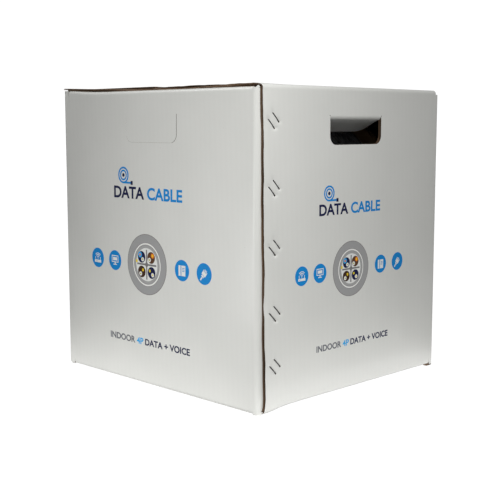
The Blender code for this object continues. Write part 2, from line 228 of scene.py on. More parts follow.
class Piece:
    """The points and faces of one piece, gathered part by part."""

    def __init__(self):
        self.points, self.faces, self.slots, self.flat = [], [], [], []
        self.count = 0

    def add(self, points, faces, slots, flat=None):
        """Faces are lists of places in points. slots is a material number, or one for each face."""
        self.points.append(points)
        self.flat.append(np.zeros((len(points), 3)) if flat is None else flat)
        self.faces += [[i + self.count for i in face] for face in faces]
        self.slots += list(slots) if hasattr(slots, "__len__") else [slots] * len(faces)
        self.count += len(points)

    def sheet(self, cells, place, top, bottom, top_slot, slot, rim_slot=None):
        """A closed sheet over filled cells, between two depths."""
        points, triangles, rim = cells
        s, t = points.T
        n = len(points)
        both = np.vstack([place(s, t, top + 0 * s), place(s, t, bottom + 0 * s)])
        flat = np.column_stack([s, t, 0 * s])
        faces = triangles.tolist() + (triangles[:, ::-1] + n).tolist()
        faces += [[i, i + n, j + n, j] for i, j in rim.tolist()]
        rim_slot = slot if rim_slot is None else rim_slot
        slots = [top_slot] * len(triangles) + [slot] * len(triangles) + [rim_slot] * len(rim)
        self.add(both, faces, slots, np.vstack([flat, flat]))

    def build(self, name, materials, body, sharp=40, slot=None, replaces=()):
        mesh = bpy.data.meshes.new(name)
        mesh.from_pydata(np.vstack(self.points).tolist(), [], self.faces)
        for material in materials:
            mesh.materials.append(material)
        mesh.polygons.foreach_set("material_index", self.slots)
        unrolled = mesh.attributes.new("unrolled", "FLOAT_VECTOR", "POINT")
        unrolled.data.foreach_set("vector", np.vstack(self.flat).ravel())
        mesh.shade_smooth()
        mesh.set_sharp_from_angle(angle=math.radians(sharp))
        piece = bpy.data.objects.new(name, mesh)
        bpy.context.scene.collection.objects.link(piece)
        if isinstance(body, str):
            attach(piece, body)
        else:
            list(body)
            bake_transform(piece)
        if replaces:
            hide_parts(*replaces)
        return piece


def rolled(x, start, radius):
    """Along, inward and turn for a sheet that is straight to start, rounds a quarter turn and goes on."""
    turn = np.clip((x - start) / radius, 0, QUARTER)
    past = np.maximum(x - start - radius * QUARTER, 0)
    return np.minimum(x, start) + radius * np.sin(turn), radius * (1 - np.cos(turn)) + past, turn


def nothing(s, t):
    return 0 * s


def quad(a, b, low, high):
    """A rectangle's corners from its lower left, for s from a to b and t from low to high."""
    return [(a, low), (b, low), (b, high), (a, high)]


class Side:
    """A wall's plane, with its upright creases and the creases of its flaps."""

    def __init__(self, out, offset, left_wrap=math.inf, right_wrap=math.inf, corner=CORNER,
                 floor=-math.inf, top=math.inf, crease=INNER_CREASE, swell=0.0, lift=nothing,
                 dent=nothing, edge_shift=nothing, slide=nothing, crush=0.2):
        self.out = np.array(out, float)
        self.right = np.array([-self.out[1], self.out[0], 0])
        self.offset, self.corner, self.crease, self.crush = offset, corner, crease, crush
        self.left_wrap, self.right_wrap = left_wrap, right_wrap
        self.low_turn, self.high_turn = floor + BOARD, top - crease
        self.swell, self.lift, self.dent, self.edge_shift, self.slide = swell, lift, dent, edge_shift, slide

    def bulge(self, s, t):
        across = np.cos(np.clip(s / HALF_WIDTH, -1, 1) * QUARTER)
        return self.swell * across * np.sin(np.clip(t / BULGE_TOP, 0, 1) * math.pi) ** 0.8

    def place(self, s, t, depth, flaps=False):
        """Where the board's point (s, t, depth) is. The flaps' creases only turn with flaps=True."""
        wrap = np.where(s > 0, self.right_wrap, self.left_wrap)
        along, in_s, turn_s = rolled(np.abs(s), wrap, self.corner)
        rise, in_t, turn_t = t, 0 * t, 0 * t
        if flaps:
            above = t > MIDDLE
            start = np.where(above, self.high_turn - MIDDLE, MIDDLE - self.low_turn)
            radius = np.where(above, self.crease, BOARD)
            rise, in_t, turn_t = rolled(np.abs(t - MIDDLE), start, radius)
            rise = MIDDLE + np.sign(t - MIDDLE) * rise
        normal = (
            np.outer(np.cos(turn_s) * np.cos(turn_t), self.out)
            + np.outer(np.sign(s) * np.sin(turn_s), self.right)
            + np.outer(np.sign(t - MIDDLE) * np.sin(turn_t), UP)
        )
        thin = 1 - self.crush * (np.sin(2 * turn_s) + np.sin(2 * turn_t))
        into = depth * thin + self.dent(s, t) * np.clip(1 - depth / BOARD, 0, 1)
        out = self.offset - in_s - in_t + self.bulge(s, t) + self.slide(s, t)
        spot = np.outer(out, self.out) + np.outer(np.sign(s) * along + self.edge_shift(s, t), self.right)
        spot[:, 2] += rise + self.lift(s, t)
        return spot - normal * into[:, None]

    def past_top(self, distance):
        """The t of a point on the top flap, a distance past the end of its crease."""
        return self.high_turn + self.crease * QUARTER + distance

    def past_floor(self, distance):
        return self.low_turn - BOARD * QUARTER - distance


def board(name, place, loops, body, replaces=(), materials=None, slot="white_board", s_fine=(), t_fine=()):
    """A corrugated board: two liners and the waved sheet between them."""
    low, high = np.min(loops[0], 0), np.max(loops[0], 0)
    piece = Piece()
    liner = fill(loops, lines(low[0], high[0], GRID, *s_fine), lines(low[1], high[1], GRID, *t_fine))
    piece.sheet(liner, place, 0, LINER, WHITE, KRAFT, CUT)
    piece.sheet(liner, place, BOARD - LINER, BOARD, KRAFT, KRAFT, CUT)
    coarse = [(a, b, 1.5 * step) for a, b, step in t_fine]
    wave = fill(loops, lines(low[0], high[0], WAVE / 8), lines(low[1], high[1], WAVE_GRID, *coarse))
    phase = (wave[0][:, 0] + WAVE_DRIFT * wave[0][:, 1]) * 2 * math.pi / WAVE
    slope = WAVE_HEIGHT * 2 * math.pi / WAVE * np.sin(phase)
    half = WAVE_SHEET / 2 * np.sqrt(1 + slope**2)
    middle = BOARD / 2 + WAVE_HEIGHT * np.cos(phase)
    piece.sheet(wave, place, middle - half, middle + half, CUT, CUT)
    return piece.build(name, materials or BOARDS, body, 50, slot, replaces)


def tube(path, radius, sides=10):
    """A closed tube along a path, with its ends capped."""
    piece, path = Piece(), np.array(path, float)
    ahead = np.gradient(path, axis=0)
    ahead /= np.linalg.norm(ahead, axis=1)[:, None]
    side = np.cross(ahead[0], UP if abs(ahead[0][2]) < 0.9 else (1, 0, 0))
    rings = []
    for point, direction in zip(path, ahead):
        side = side - direction * (side @ direction)
        side /= np.linalg.norm(side)
        across = np.cross(direction, side)
        angle = np.arange(sides)[:, None] * 2 * math.pi / sides
        rings.append(point + radius * (np.cos(angle) * side + np.sin(angle) * across))
    n = len(rings)
    faces = []
    for i in range(n - 1):
        for k in range(sides):
            j = (k + 1) % sides
            faces.append([i * sides + k, i * sides + j, (i + 1) * sides + j, (i + 1) * sides + k])
    faces.append(list(range(sides))[::-1])
    faces.append([(n - 1) * sides + k for k in range(sides)])
    arc = np.repeat(np.concatenate([[0], np.cumsum(np.linalg.norm(np.diff(path, axis=0), axis=1))]), sides)
    around = np.tile(np.arange(sides) / sides, n)
    piece.add(np.vstack(rings), faces, 0, np.column_stack([arc, around, 0 * arc]))
    return piece


def turned(profile, segments):
    """A closed ring about the axle. The profile is (radius, y) points, counter-clockwise."""
    piece, profile = Piece(), np.array(profile, float)
    angle = np.arange(segments) * 2 * math.pi / segments
    n = len(profile)
    rings = [
        np.column_stack([r * np.cos(angle), np.full(segments, y), AXLE_HEIGHT + r * np.sin(angle)])
        for r, y in profile
    ]
    faces = []
    for i in range(n):
        j = (i + 1) % n
        for k in range(segments):
            m = (k + 1) % segments
            faces.append([i * segments + k, i * segments + m, j * segments + m, j * segments + k])
    piece.add(np.vstack(rings), faces, 0)
    return piece


# ---- materials

def linear(*rgb):
    """A colour from 0 to 255 as the linear values that Blender's sockets take."""
    return [((v / 255 + 0.055) / 1.055) ** 2.4 if v > 10 else v / 255 / 12.92 for v in rgb]


def node(tree, kind, inputs=(), **settings):
    made = tree.nodes.new("ShaderNode" + kind)
    for name, value in settings.items():
        setattr(made, name, value)
    for key, value in dict(inputs).items():
        if isinstance(value, bpy.types.NodeSocket):
            tree.links.new(value, made.inputs[key])
        else:
            made.inputs[key].default_value = value
    return made


def math_node(tree, operation, a, b=0.0):
    return node(tree, "Math", {0: a, 1: b}, operation=operation).outputs[0]


def scaled(tree, value, by):
    return math_node(tree, "MULTIPLY", value, by)


def mixed(tree, factor, a, b):
    """From colour a to colour b, each of three numbers or another node's."""
    a, b = (v if isinstance(v, bpy.types.NodeSocket) else (*v, 1) for v in (a, b))
    return node(tree, "Mix", {0: factor, 6: a, 7: b}, data_type="RGBA").outputs[2]


def noise(tree, where, scale, detail=3.0, stretch=None, roughness=0.5):
    """Noise from 0 to 1. stretch scales the coordinates before the noise's own scale."""
    if stretch:
        where = node(tree, "VectorMath", {0: where, 1: stretch}, operation="MULTIPLY").outputs[0]
    inputs = {"Vector": where, "Scale": scale, "Detail": detail, "Roughness": roughness}
    return node(tree, "TexNoise", inputs).outputs[0]


def between(tree, value, low, high, to_low=0.0, to_high=1.0):
    """value from low..high put onto to_low..to_high, and held there."""
    return node(tree, "MapRange", {0: value, 1: low, 2: high, 3: to_low, 4: to_high}).outputs[0]


def principled(name, **sockets):
    material = bpy.data.materials.new(name)
    material.use_nodes = True
    shader = material.node_tree.nodes["Principled BSDF"]
    for key, value in sockets.items():
        shader.inputs[key.replace("_", " ")].default_value = value
    return material, material.node_tree, shader


def finish(material, colour, height, roughness=None):
    tree = material.node_tree
    shader = tree.nodes["Principled BSDF"]
    tree.links.new(colour, shader.inputs["Base Color"])
    if roughness:
        tree.links.new(roughness, shader.inputs["Roughness"])
    bump = node(tree, "Bump", {"Height": height, "Distance": 1.0, "Strength": 1.0})
    tree.links.new(bump.outputs[0], shader.inputs["Normal"])
    return material


def unrolled(tree):
    return node(tree, "Attribute", attribute_name="unrolled").outputs["Vector"]


def placed(tree):
    return node(tree, "TexCoord").outputs["Object"]


def flute_lines(tree, flat):
    """From -1 to 1 across each flute."""
    parts = node(tree, "SeparateXYZ", {0: flat})
    drift = scaled(tree, parts.outputs[1], WAVE_DRIFT)
    along = math_node(tree, "ADD", parts.outputs[0], drift)
    return math_node(tree, "COSINE", scaled(tree, along, 2 * math.pi / WAVE))


def specks(tree, where, scale, size):
    """1 in small sparse spots."""
    cells = node(tree, "TexVoronoi", {"Vector": where, "Scale": scale})
    return between(tree, cells.outputs["Distance"], size, size * 0.6)


def tooth(tree, flat):
    """The height of a paper's finest grain."""
    return scaled(tree, noise(tree, flat, 1400, 2), 0.000004)


def coated_board():
    """White clay-coated liner: fine tooth, faint flute ribs with painted shade along them, specks and scuffs.
    """
    material, tree, _ = principled(
        "coated_board", Roughness=0.42, Coat_Weight=0.35, Coat_Roughness=0.16, Coat_IOR=1.45)
    flat = unrolled(tree)
    flutes = flute_lines(tree, flat)
    cloud = noise(tree, flat, 14, 4)
    colour = mixed(tree, between(tree, cloud, 0.3, 0.7), (0.747, 0.752, 0.716), (0.777, 0.780, 0.744))
    # Painted shade: the board darkens a little along each flute, standing in for the shade of the flute ribs.
    colour = mixed(tree, between(tree, flutes, -1, 1, 0, 0.025), colour, (0.45, 0.44, 0.42))
    marks = scaled(tree, specks(tree, flat, 55, 0.03), 0.35)
    colour = mixed(tree, marks, colour, (0.30, 0.27, 0.23))
    scuffs = between(tree, noise(tree, flat, 30, 6, (1, 0.15, 1), 0.7), 0.66, 0.78, 0, 0.10)
    colour = mixed(tree, scuffs, colour, (0.88, 0.88, 0.87))
    waves = scaled(tree, flutes, 0.000012)
    slack = scaled(tree, noise(tree, flat, 26, 3, (1, 0.35, 1)), 0.0004)
    height = math_node(tree, "ADD", math_node(tree, "ADD", tooth(tree, flat), waves), slack)
    return finish(material, colour, height, between(tree, cloud, 0.3, 0.7, 0.38, 0.48))


def kraft(name, dark, light):
    """Brown paper: long fibres, flecks and the flutes' shadow."""
    material, tree, _ = principled(name, Roughness=0.85)
    flat = unrolled(tree)
    fibres = noise(tree, flat, 420, 5, (1, 0.12, 1), 0.65)
    cloud = noise(tree, flat, 25, 3)
    colour = mixed(tree, between(tree, fibres, 0.3, 0.7), dark, light)
    colour = mixed(tree, between(tree, cloud, 0.3, 0.7, 0, 0.25), colour, dark)
    colour = mixed(tree, between(tree, flute_lines(tree, flat), -1, 1, 0, 0.12), colour, dark)
    colour = mixed(tree, scaled(tree, specks(tree, flat, 160, 0.05), 0.5), colour,
                   [v * 0.35 for v in dark])
    return finish(material, colour, scaled(tree, fibres, 0.00002))


WHITE_LEVEL = 0.76 / linear(203)[0]


def ink(name, *rgb):
    """A printed ink, as it looks next to the white board, with the board's tooth and small misses."""
    base = [min(v * WHITE_LEVEL, 0.85) for v in linear(*rgb)]
    pale = [v + 0.02 for v in base]
    material, tree, _ = principled(
        name, Roughness=0.45, Specular_IOR_Level=0.15, Coat_Weight=0.06, Coat_Roughness=0.16)
    flat = unrolled(tree)
    patch = between(tree, noise(tree, flat, 160, 4), 0.45, 0.75)
    miss = specks(tree, flat, 420, 0.12)
    colour = mixed(tree, scaled(tree, patch, 0.3), base, pale)
    colour = mixed(tree, scaled(tree, miss, 0.10), colour, (0.7, 0.7, 0.69))
    return finish(material, colour, tooth(tree, flat))


def plywood():
    """Birch ply: long grain on the faces, and the plies' edges round the rim."""
    material, tree, _ = principled("plywood", Roughness=0.6)
    where = placed(tree)
    grain = noise(tree, where, 60, 6, (0.12, 1.0, 1.0), 0.6)
    rings = noise(tree, where, 9, 2, (0.1, 1.0, 1.0))
    bands = math_node(tree, "SINE", scaled(tree, rings, 60.0))
    colour = mixed(tree, between(tree, grain, 0.3, 0.7), (0.42, 0.27, 0.14), (0.62, 0.44, 0.26))
    colour = mixed(tree, between(tree, bands, -1, 1, 0, 0.25), colour, (0.36, 0.21, 0.10))
    deep = node(tree, "SeparateXYZ", {0: where}).outputs[1]
    plies = math_node(tree, "SINE", scaled(tree, deep, math.pi / 0.0015))
    colour = mixed(tree, between(tree, plies, -0.2, 0.2, 0, 0.45), colour, (0.24, 0.13, 0.06))
    return finish(material, colour, scaled(tree, grain, 0.0001))


def jacket():
    """Grey cable jacket: soft gloss, faint handling marks and chalk."""
    material, tree, _ = principled("cable_jacket_pvc", Roughness=0.4, Specular_IOR_Level=0.5)
    flat = unrolled(tree)
    cloud = noise(tree, flat, 18, 4, (1, 0.02, 1))
    colour = mixed(tree, between(tree, cloud, 0.3, 0.7), (0.30, 0.31, 0.32), (0.38, 0.39, 0.40))
    scuffs = between(tree, noise(tree, flat, 300, 5, (1, 0.01, 1), 0.7), 0.62, 0.75, 0, 0.4)
    colour = mixed(tree, scuffs, colour, (0.52, 0.52, 0.52))
    roughness = between(tree, cloud, 0.3, 0.7, 0.32, 0.5)
    return finish(material, colour, scaled(tree, cloud, 0.0002), roughness)


def metal(name, colour, rough, blotch):
    """Plated or drawn metal, with blotches and fine drawing marks."""
    material, tree, _ = principled(name, Metallic=1.0, Roughness=rough)
    where = placed(tree)
    cloud = noise(tree, where, 240, 4)
    tint = mixed(tree, between(tree, cloud, 0.35, 0.7), colour, [v * blotch for v in colour])
    roughness = between(tree, cloud, 0.3, 0.7, rough * 0.75, rough * 1.35)
    height = scaled(tree, noise(tree, where, 1500, 2), 0.000008)
    return finish(material, tint, height, roughness)


def paper_tube():
    """Wound brown paper, with the seam of its strip running round in a spiral."""
    material, tree, _ = principled("paper_tube", Roughness=0.75)
    where = placed(tree)
    parts = node(tree, "SeparateXYZ", {0: where})
    height_up = math_node(tree, "SUBTRACT", parts.outputs[2], 0.175)
    angle = math_node(tree, "ARCTAN2", height_up, parts.outputs[0])
    turn = math_node(tree, "ADD", math_node(tree, "DIVIDE", angle, 2 * math.pi),
                     math_node(tree, "DIVIDE", parts.outputs[1], 0.07))
    seam = between(tree, math_node(tree, "FRACT", turn), 0.0, 0.025, 0.6, 0)
    fibres = noise(tree, where, 500, 5)
    colour = mixed(tree, between(tree, fibres, 0.3, 0.7), (0.22, 0.14, 0.085), (0.32, 0.21, 0.13))
    colour = mixed(tree, seam, colour, (0.10, 0.06, 0.035))
    return finish(material, colour, scaled(tree, fibres, 0.00003))


def packing_tape():
    material, tree, _ = principled("packing_tape", Roughness=0.3, Coat_Weight=0.4, Coat_Roughness=0.1)
    where = placed(tree)
    wrinkles = noise(tree, where, 120, 4, (1, 0.2, 1))
    colour = mixed(tree, between(tree, wrinkles, 0.3, 0.7), (0.50, 0.36, 0.18), (0.62, 0.47, 0.27))
    return finish(material, colour, scaled(tree, wrinkles, 0.0004))


BOARD_KRAFT = kraft("board_kraft", (0.17, 0.105, 0.062), (0.25, 0.160, 0.098))
# A darker copy of the board kraft for the raw cut edges and fluting of the walls, floor flaps and hand flaps:
# painted shade of the cut edges' flute hollows. The top flaps use the lighter board kraft on the same edges.
CUT_KRAFT_PAINTED_SHADE = kraft("cut_kraft", (0.080, 0.049, 0.030), (0.128, 0.081, 0.050))
SUPPORT_KRAFT = kraft("support_kraft", (0.24, 0.155, 0.09), (0.34, 0.23, 0.14))
BOARDS = [coated_board(), BOARD_KRAFT, CUT_KRAFT_PAINTED_SHADE]
FLAP_BOARDS = [BOARDS[0], BOARD_KRAFT, BOARD_KRAFT]
PLYWOOD = plywood()
JACKET = jacket()
WIRE = metal("stitch_wire_drawn", (0.085, 0.083, 0.085), 0.42, 0.5)
ZINC = metal("zinc_plate", (0.62, 0.63, 0.64), 0.3, 0.8)
PAPER_TUBE = paper_tube()
TAPE = packing_tape()


# ---- the carton's sides

TOP_EDGE = 0.3448
WRAP_START = HALF_WIDTH - CORNER
WRAP_END = WRAP_START + CORNER * QUARTER + WRAP_PAST
WALL_END = HALF_DEPTH - CORNER - WRAP_PAST
RAW_EDGE = box("right_wall")[0][1]
TAB_START = box("stitch_tab")[0][0]
FRONT_END = box("front_wall")[1][0]
TAB_FLAT_END = TAB_START + TAB_BEND * QUARTER
STITCH_NAMES = [f"stitch_{i}_{row}" for i in range(1, 6) for row in ("upper", "lower")]
STITCHES = [box(name) for name in STITCH_NAMES]
STITCH_WIRE = 0.00062
FLAP_END = box("top_flap_left")[1][1]
EDGE_MOVE, EDGE_LEAN = 0.0012, 0.0046
END_DENT = 0.0024
PINCH_AT = 0.1185
CORNER_LIFT = 0.0042
CORNER_SLIDE = 0.011
CORNER_DENT = 0.0023
RISE = 0.0013
LIFT_RUN = 0.065


def to_segment(s, t, a, b):
    """The distance from each (s, t) to the line from a to b."""
    a, b = np.array(a), np.array(b)
    along = np.clip(((s - a[0]) * (b - a)[0] + (t - a[1]) * (b - a)[1]) / ((b - a) @ (b - a)), 0, 1)
    return np.hypot(s - a[0] - along * (b - a)[0], t - a[1] - along * (b - a)[1])


def stitch_ends(low, high):
    """The crown's two ends on the right wall: the upper one towards the corner, the lower one away."""
    return (low[1] + 0.0005, high[2] - 0.0005), (high[1] - 0.0005, low[2] + 0.0005)


def right_dent(s, t):
    """How far the right wall's outer liner is pressed in: round the stitches, and at its raw edge."""
    press, y = 0 * s, s + raw_edge_shift(s, t)
    for low, high in STITCHES:
        upper, lower = stitch_ends(low, high)
        press = press + 0.00045 * hill(to_segment(y, t, upper, lower), 0, 0.0030)
        press = press + 0.0006 * hill(np.hypot(y - lower[0], t - lower[1]), 0, END_DENT)
        press = press + 0.0003 * hill(np.hypot(y - upper[0], t - upper[1]), 0, END_DENT)
    near = np.exp(-np.maximum(s - RAW_EDGE, 0) / 0.0035)
    crushed = 0.0003 - 0.0005 * hill(t, 0.047, 0.034) + 0.0008 * hill(t, PINCH_AT, 0.008)
    crushed = crushed + 0.00015 * np.sin(t * 190) + 0.0001 * np.sin(t * 517 + 1)
    pinch = 0.0008 * hill(t, PINCH_AT, 0.009) * hill(s, RAW_EDGE, 0.009)
    return press + near * crushed + pinch


def raw_edge_shift(s, t):
    """The raw edge leans towards the corner at the top, wanders, and curls to the corner at its foot."""
    near = np.exp(-np.maximum(s - RAW_EDGE, 0) / 0.006)
    fade = hill(np.maximum(s, RAW_EDGE), RAW_EDGE, 0.03)
    lean = fade * (EDGE_MOVE + EDGE_LEAN * np.clip(0.5 - t / TOP_EDGE, -0.5, 0.5))
    curl = 0.0034 * near * (1 - smooth((t + 0.002) / 0.018))
    wander = 0.0004 * np.sin(t * 47 + 0.6) + 0.0002 * np.sin(t * 131)
    return lean - curl + near * (wander + 0.0004 * smooth((t - 0.203) / 0.003) - 0.0002)


def corner_lift(s, t):
    """From 1 to 0 away from the left flap's front corner."""
    past = t - (OUTER_TOP - OUTER_CREASE)
    along = smooth((past + 0.008) / 0.012) * (1 - smooth((past - 0.007) / LIFT_RUN))
    return hill(np.minimum(s, FLAP_END), FLAP_END, 0.035) * along


def flap_rise(from_edge, t):
    """The outer flaps stand a little proud along their front edges."""
    past = t - (OUTER_TOP - OUTER_CREASE)
    return RISE * smooth((past - 0.005) / 0.010) * (1 - smooth(from_edge / 0.07))


def left_lift(s, t):
    return CORNER_LIFT * corner_lift(s, t) + flap_rise(WALL_END - s, t)


def left_slide(s, t):
    """The crease is torn at the front corner, and the flap's board runs on to the wall's outer face."""
    return CORNER_SLIDE * corner_lift(s, t)


def front_lift(s, t):
    """The front crease stands proud with the flaps, and more at its far end."""
    rise = RISE + 0.0004 + 0.0036 * hill(s, -HALF_WIDTH, 0.042)
    rise = rise * (1 - smooth((s - FRONT_END) / 0.004))
    return rise * smooth((t - INNER_TOP + 0.020) / 0.015) * (1 - smooth((t - INNER_TOP) / 0.06))


def left_dent(s, t):
    return CORNER_DENT * corner_lift(s, t)


def right_lift(s, t):
    """The right flap's free edge sags and rises a little, and the wall's foot hangs down at the raw edge."""
    past = smooth((t - OUTER_TOP - 0.02) / 0.06)
    dip = 0.0034 * hill(np.maximum(s, RAW_EDGE), RAW_EDGE, 0.025) * hill(t, 0.002, 0.013)
    return past * (0.0003 * np.sin(t * 60) - 0.0004) + flap_rise(s - RAW_EDGE, t) - dip


WIDE = dict(floor=0.0, top=INNER_TOP, swell=0.0012)
NARROW = dict(floor=INNER_FLOOR, top=OUTER_TOP, crease=OUTER_CREASE, swell=0.0008)
FRONT = Side((0, -1, 0), HALF_DEPTH, left_wrap=WRAP_START, lift=front_lift, **WIDE)
TAB = Side((0, -1, 0), HALF_DEPTH, right_wrap=TAB_START, corner=TAB_BEND, swell=0.0012, lift=front_lift,
           crush=0.0)
RIGHT = Side((1, 0, 0), HALF_WIDTH, dent=right_dent, edge_shift=raw_edge_shift, lift=right_lift, **NARROW)
BACK = Side((0, 1, 0), HALF_DEPTH, WRAP_START, WRAP_START, **WIDE)
LEFT = Side((-1, 0, 0), HALF_WIDTH, lift=left_lift, dent=left_dent, slide=left_slide, **NARROW)
SIDES = {"front": FRONT, "right": RIGHT, "back": BACK, "left": LEFT}

FOLD_REACH = 0.012
LOW_SEAM = 0.008
# Half of each bottom flap's width, and where the creases of the front and back ones end
FLOOR_HALF, SIDE_FLOOR_HALF, FLOOR_END = 0.1500, 0.1491, 0.1628
# The inner top flaps: half their crease, how far they reach, and half their width there
INNER_ROOT, INNER_TIP, INNER_TIP_HALF = 0.1630, 0.1203, 0.1035
LEFT_RELIEF = 0.146
CORNER_DOT = (-0.1712, 0.3425)


def high_seam(name):
    """The height where a wall ends and its top flap's crease begins."""
    return HINGES[f"top_flap_{name}_fold"][2] - FOLD_REACH


def low_seam(side):
    """The height where a wall ends and its bottom flap's crease begins."""
    return LOW_SEAM + side.low_turn - BOARD


def wall_outline(name, low, high, left, right, feet=((), ()), ears=(False, False)):
    """A wall between its flaps' seams. low and high are the flaps' stretches of s at the floor and top;
    feet are the corner points beside the floor flap, and ears says which top corners stand up."""
    floor, top, outline = low_seam(SIDES[name]), high_seam(name), []
    if feet[0]:
        outline += [*feet[0], (low[0] - EAR_GAP, feet[0][-1][1]), (low[0], floor)]
    else:
        outline += [(left, floor)]
    if feet[1]:
        outline += [(low[1], floor), (low[1] + EAR_GAP, feet[1][0][1]), *feet[1]]
    else:
        outline += [(right, floor)]
    outline += ([(right, TOP_EDGE), (high[1] + EAR_GAP, TOP_EDGE), (high[1], top)] if ears[1]
                else [(right, top)])
    outline += [(high[0], top), (high[0] - EAR_GAP, TOP_EDGE), (left, TOP_EDGE)] if ears[0] else [(left, top)]
    return outline


# ---- hand holes

HOLE_MARGIN = 0.0006
HOLE_ROUND = 0.010
HAND_CREASE = 0.0026
PUSHED_CREASE = 0.0034
HAND_LOW, HAND_HIGH = box("hand_flap_front")
HOLE_WIDTH = HAND_HIGH[0] - HAND_LOW[0] + 2 * HOLE_MARGIN
HOLE_HEIGHT = HINGES["hand_flap_front_fold"][2] - HAND_LOW[2] + HOLE_MARGIN
REST_PUSH = math.radians(64)
NICK = 0.0012


def hole_limits(name, inset=0.0):
    """The hand hole's ends along s, and its lower and upper edge."""
    hinge = HINGES[f"hand_flap_{name}_fold"]
    middle, top = hinge @ SIDES[name].right, hinge[2]
    a, b = middle - HOLE_WIDTH / 2 + inset, middle + HOLE_WIDTH / 2 - inset
    return a, b, top - HOLE_HEIGHT + inset, top


def hand_hole(name):
    a, b, low, top = hole_limits(name)
    corners = quad(a, b, low, top)
    if name == "right":
        nicks = [(b, top - NICK), (b + NICK, top), (b, top), (a, top), (a - NICK, top), (a, top - NICK)]
        corners = corners[:2] + nicks
    return rounded(corners, [HOLE_ROUND] * 2 + [0] * (len(corners) - 2))


def pushed(side, hinge, push, s, t, depth):
    """The hand flap's place when it is pushed in, turning about the hole's top inner edge."""
    spot = side.place(s, t, depth)
    out = spot @ side.out - (side.offset - BOARD)
    up = spot[:, 2] - hinge[2]
    turn = push * smooth((hinge[2] - t) / PUSHED_CREASE)
    moved_out = out * np.cos(turn) + up * np.sin(turn)
    moved_up = up * np.cos(turn) - out * np.sin(turn)
    spot += np.outer(moved_out - out, side.out)
    spot[:, 2] += moved_up - up
    return spot


def hand_flap(name, push=0.0):
    """The die-cut flap, with its crease as a piece of its own."""
    body, side = f"hand_flap_{name}", SIDES[name]
    hinge = HINGES[body + "_fold"]
    a, b, low, top = hole_limits(name, SLIT)
    if not push:
        a, b, low = a - SLIT * 0.8, b - SLIT, low - SLIT / 2
    crease_width = PUSHED_CREASE if push else HAND_CREASE
    seam = top - crease_width
    place = partial(pushed, side, hinge, push)
    outline = rounded(quad(a, b, low, seam), [HOLE_ROUND, HOLE_ROUND, 0, 0])
    board(body + "_board", place, [outline], body, [body])
    bend = -side.out * math.sin(push / 2) - UP * math.cos(push / 2)
    start = hinge if push else np.array([hinge[0], hinge[1], top])
    end = start + bend * crease_width * math.cos(push / 2)
    board(body + "_crease", place, [quad(a, b, seam, top)], ("carton", body, tuple(start), tuple(end)),
          t_fine=[(seam, top, FINE / 2)])


# ---- flaps

def top_flap(name, low, high, tip_distance, tip_half=None):
    """One top flap and its crease. low and high are the crease's ends along s, tip_distance is how far the
    flap reaches from the wall's outer face, and tip_half is half its width there if it tapers."""
    body, side = f"top_flap_{name}", SIDES[name]
    hinge = HINGES[body + "_fold"]
    place = partial(side.place, flaps=True)
    arc_end = side.offset - side.crease
    seam = side.past_top(arc_end - (hinge @ side.out - FOLD_REACH))
    tip = side.past_top(arc_end - (side.offset - tip_distance))
    start = hinge + side.out * 0.0015 - UP * 0.0065
    end = hinge - side.out * 0.0065 + UP * 0.0015
    arc = [(side.high_turn - 0.002, side.past_top(0.002), FINE)]
    board(f"top_crease_{name}", place, [quad(low, high, high_seam(name), seam)],
          ("carton", body, tuple(start), tuple(end)), t_fine=arc)
    if tip_half:
        corners = [(low, seam), (high, seam), (tip_half, tip), (-tip_half, tip)]
    else:
        cad_low, cad_high = box(body)
        ends = sorted([cad_low @ side.right, cad_high @ side.right])
        if high < WALL_END:
            front = [(ends[1] + 0.004, seam - 0.003), (ends[1] + 0.004, seam + 0.006), (ends[1], seam + 0.05)]
        else:
            front = [(ends[1], seam + 0.004)]
        corners = [(low, seam), (high, seam), *front, (ends[1], tip), (ends[0], tip), (ends[0], seam + 0.004)]
    radii = [0, 0, 0.006, 0.006] if tip_half else [0, 0, *[0.0005] * len(front), 0.003, 0.003, 0.0005]
    near_crease = [(seam, seam + 0.006, 0.002)]
    board(body + "_board", place, [rounded(corners, radii)], body, [body], FLAP_BOARDS, t_fine=near_crease)


def floor_flap(name, half, crease=(None, None)):
    """One glued bottom flap with its crease. crease carries the crease on past the flap's ends along s."""
    node_name, side = f"bottom_flap_{name}", SIDES[name]
    low, high = box(node_name)
    reach = side.offset - min(low @ side.out, high @ side.out, key=abs)
    tip, turn_end = side.past_floor(reach - BOARD), side.past_floor(0)
    seam, step = low_seam(side), turn_end + 0.001
    outline = [(-half, tip), (half, tip)]
    outline += [(half, step), (crease[1], step)] if crease[1] else []
    outline += [(crease[1] or half, seam), (crease[0] or -half, seam)]
    outline += [(crease[0], step), (-half, step)] if crease[0] else []
    board(node_name + "_board", partial(side.place, flaps=True), [outline], "carton", [node_name],
          t_fine=[(turn_end - 0.002, side.low_turn + 0.002, FINE)])


def wall(name, outline, *holes, **fine):
    board(f"{name}_wall_board", SIDES[name].place, [outline, hand_hole(name), *holes], "carton",
          [f"{name}_wall"], **fine)


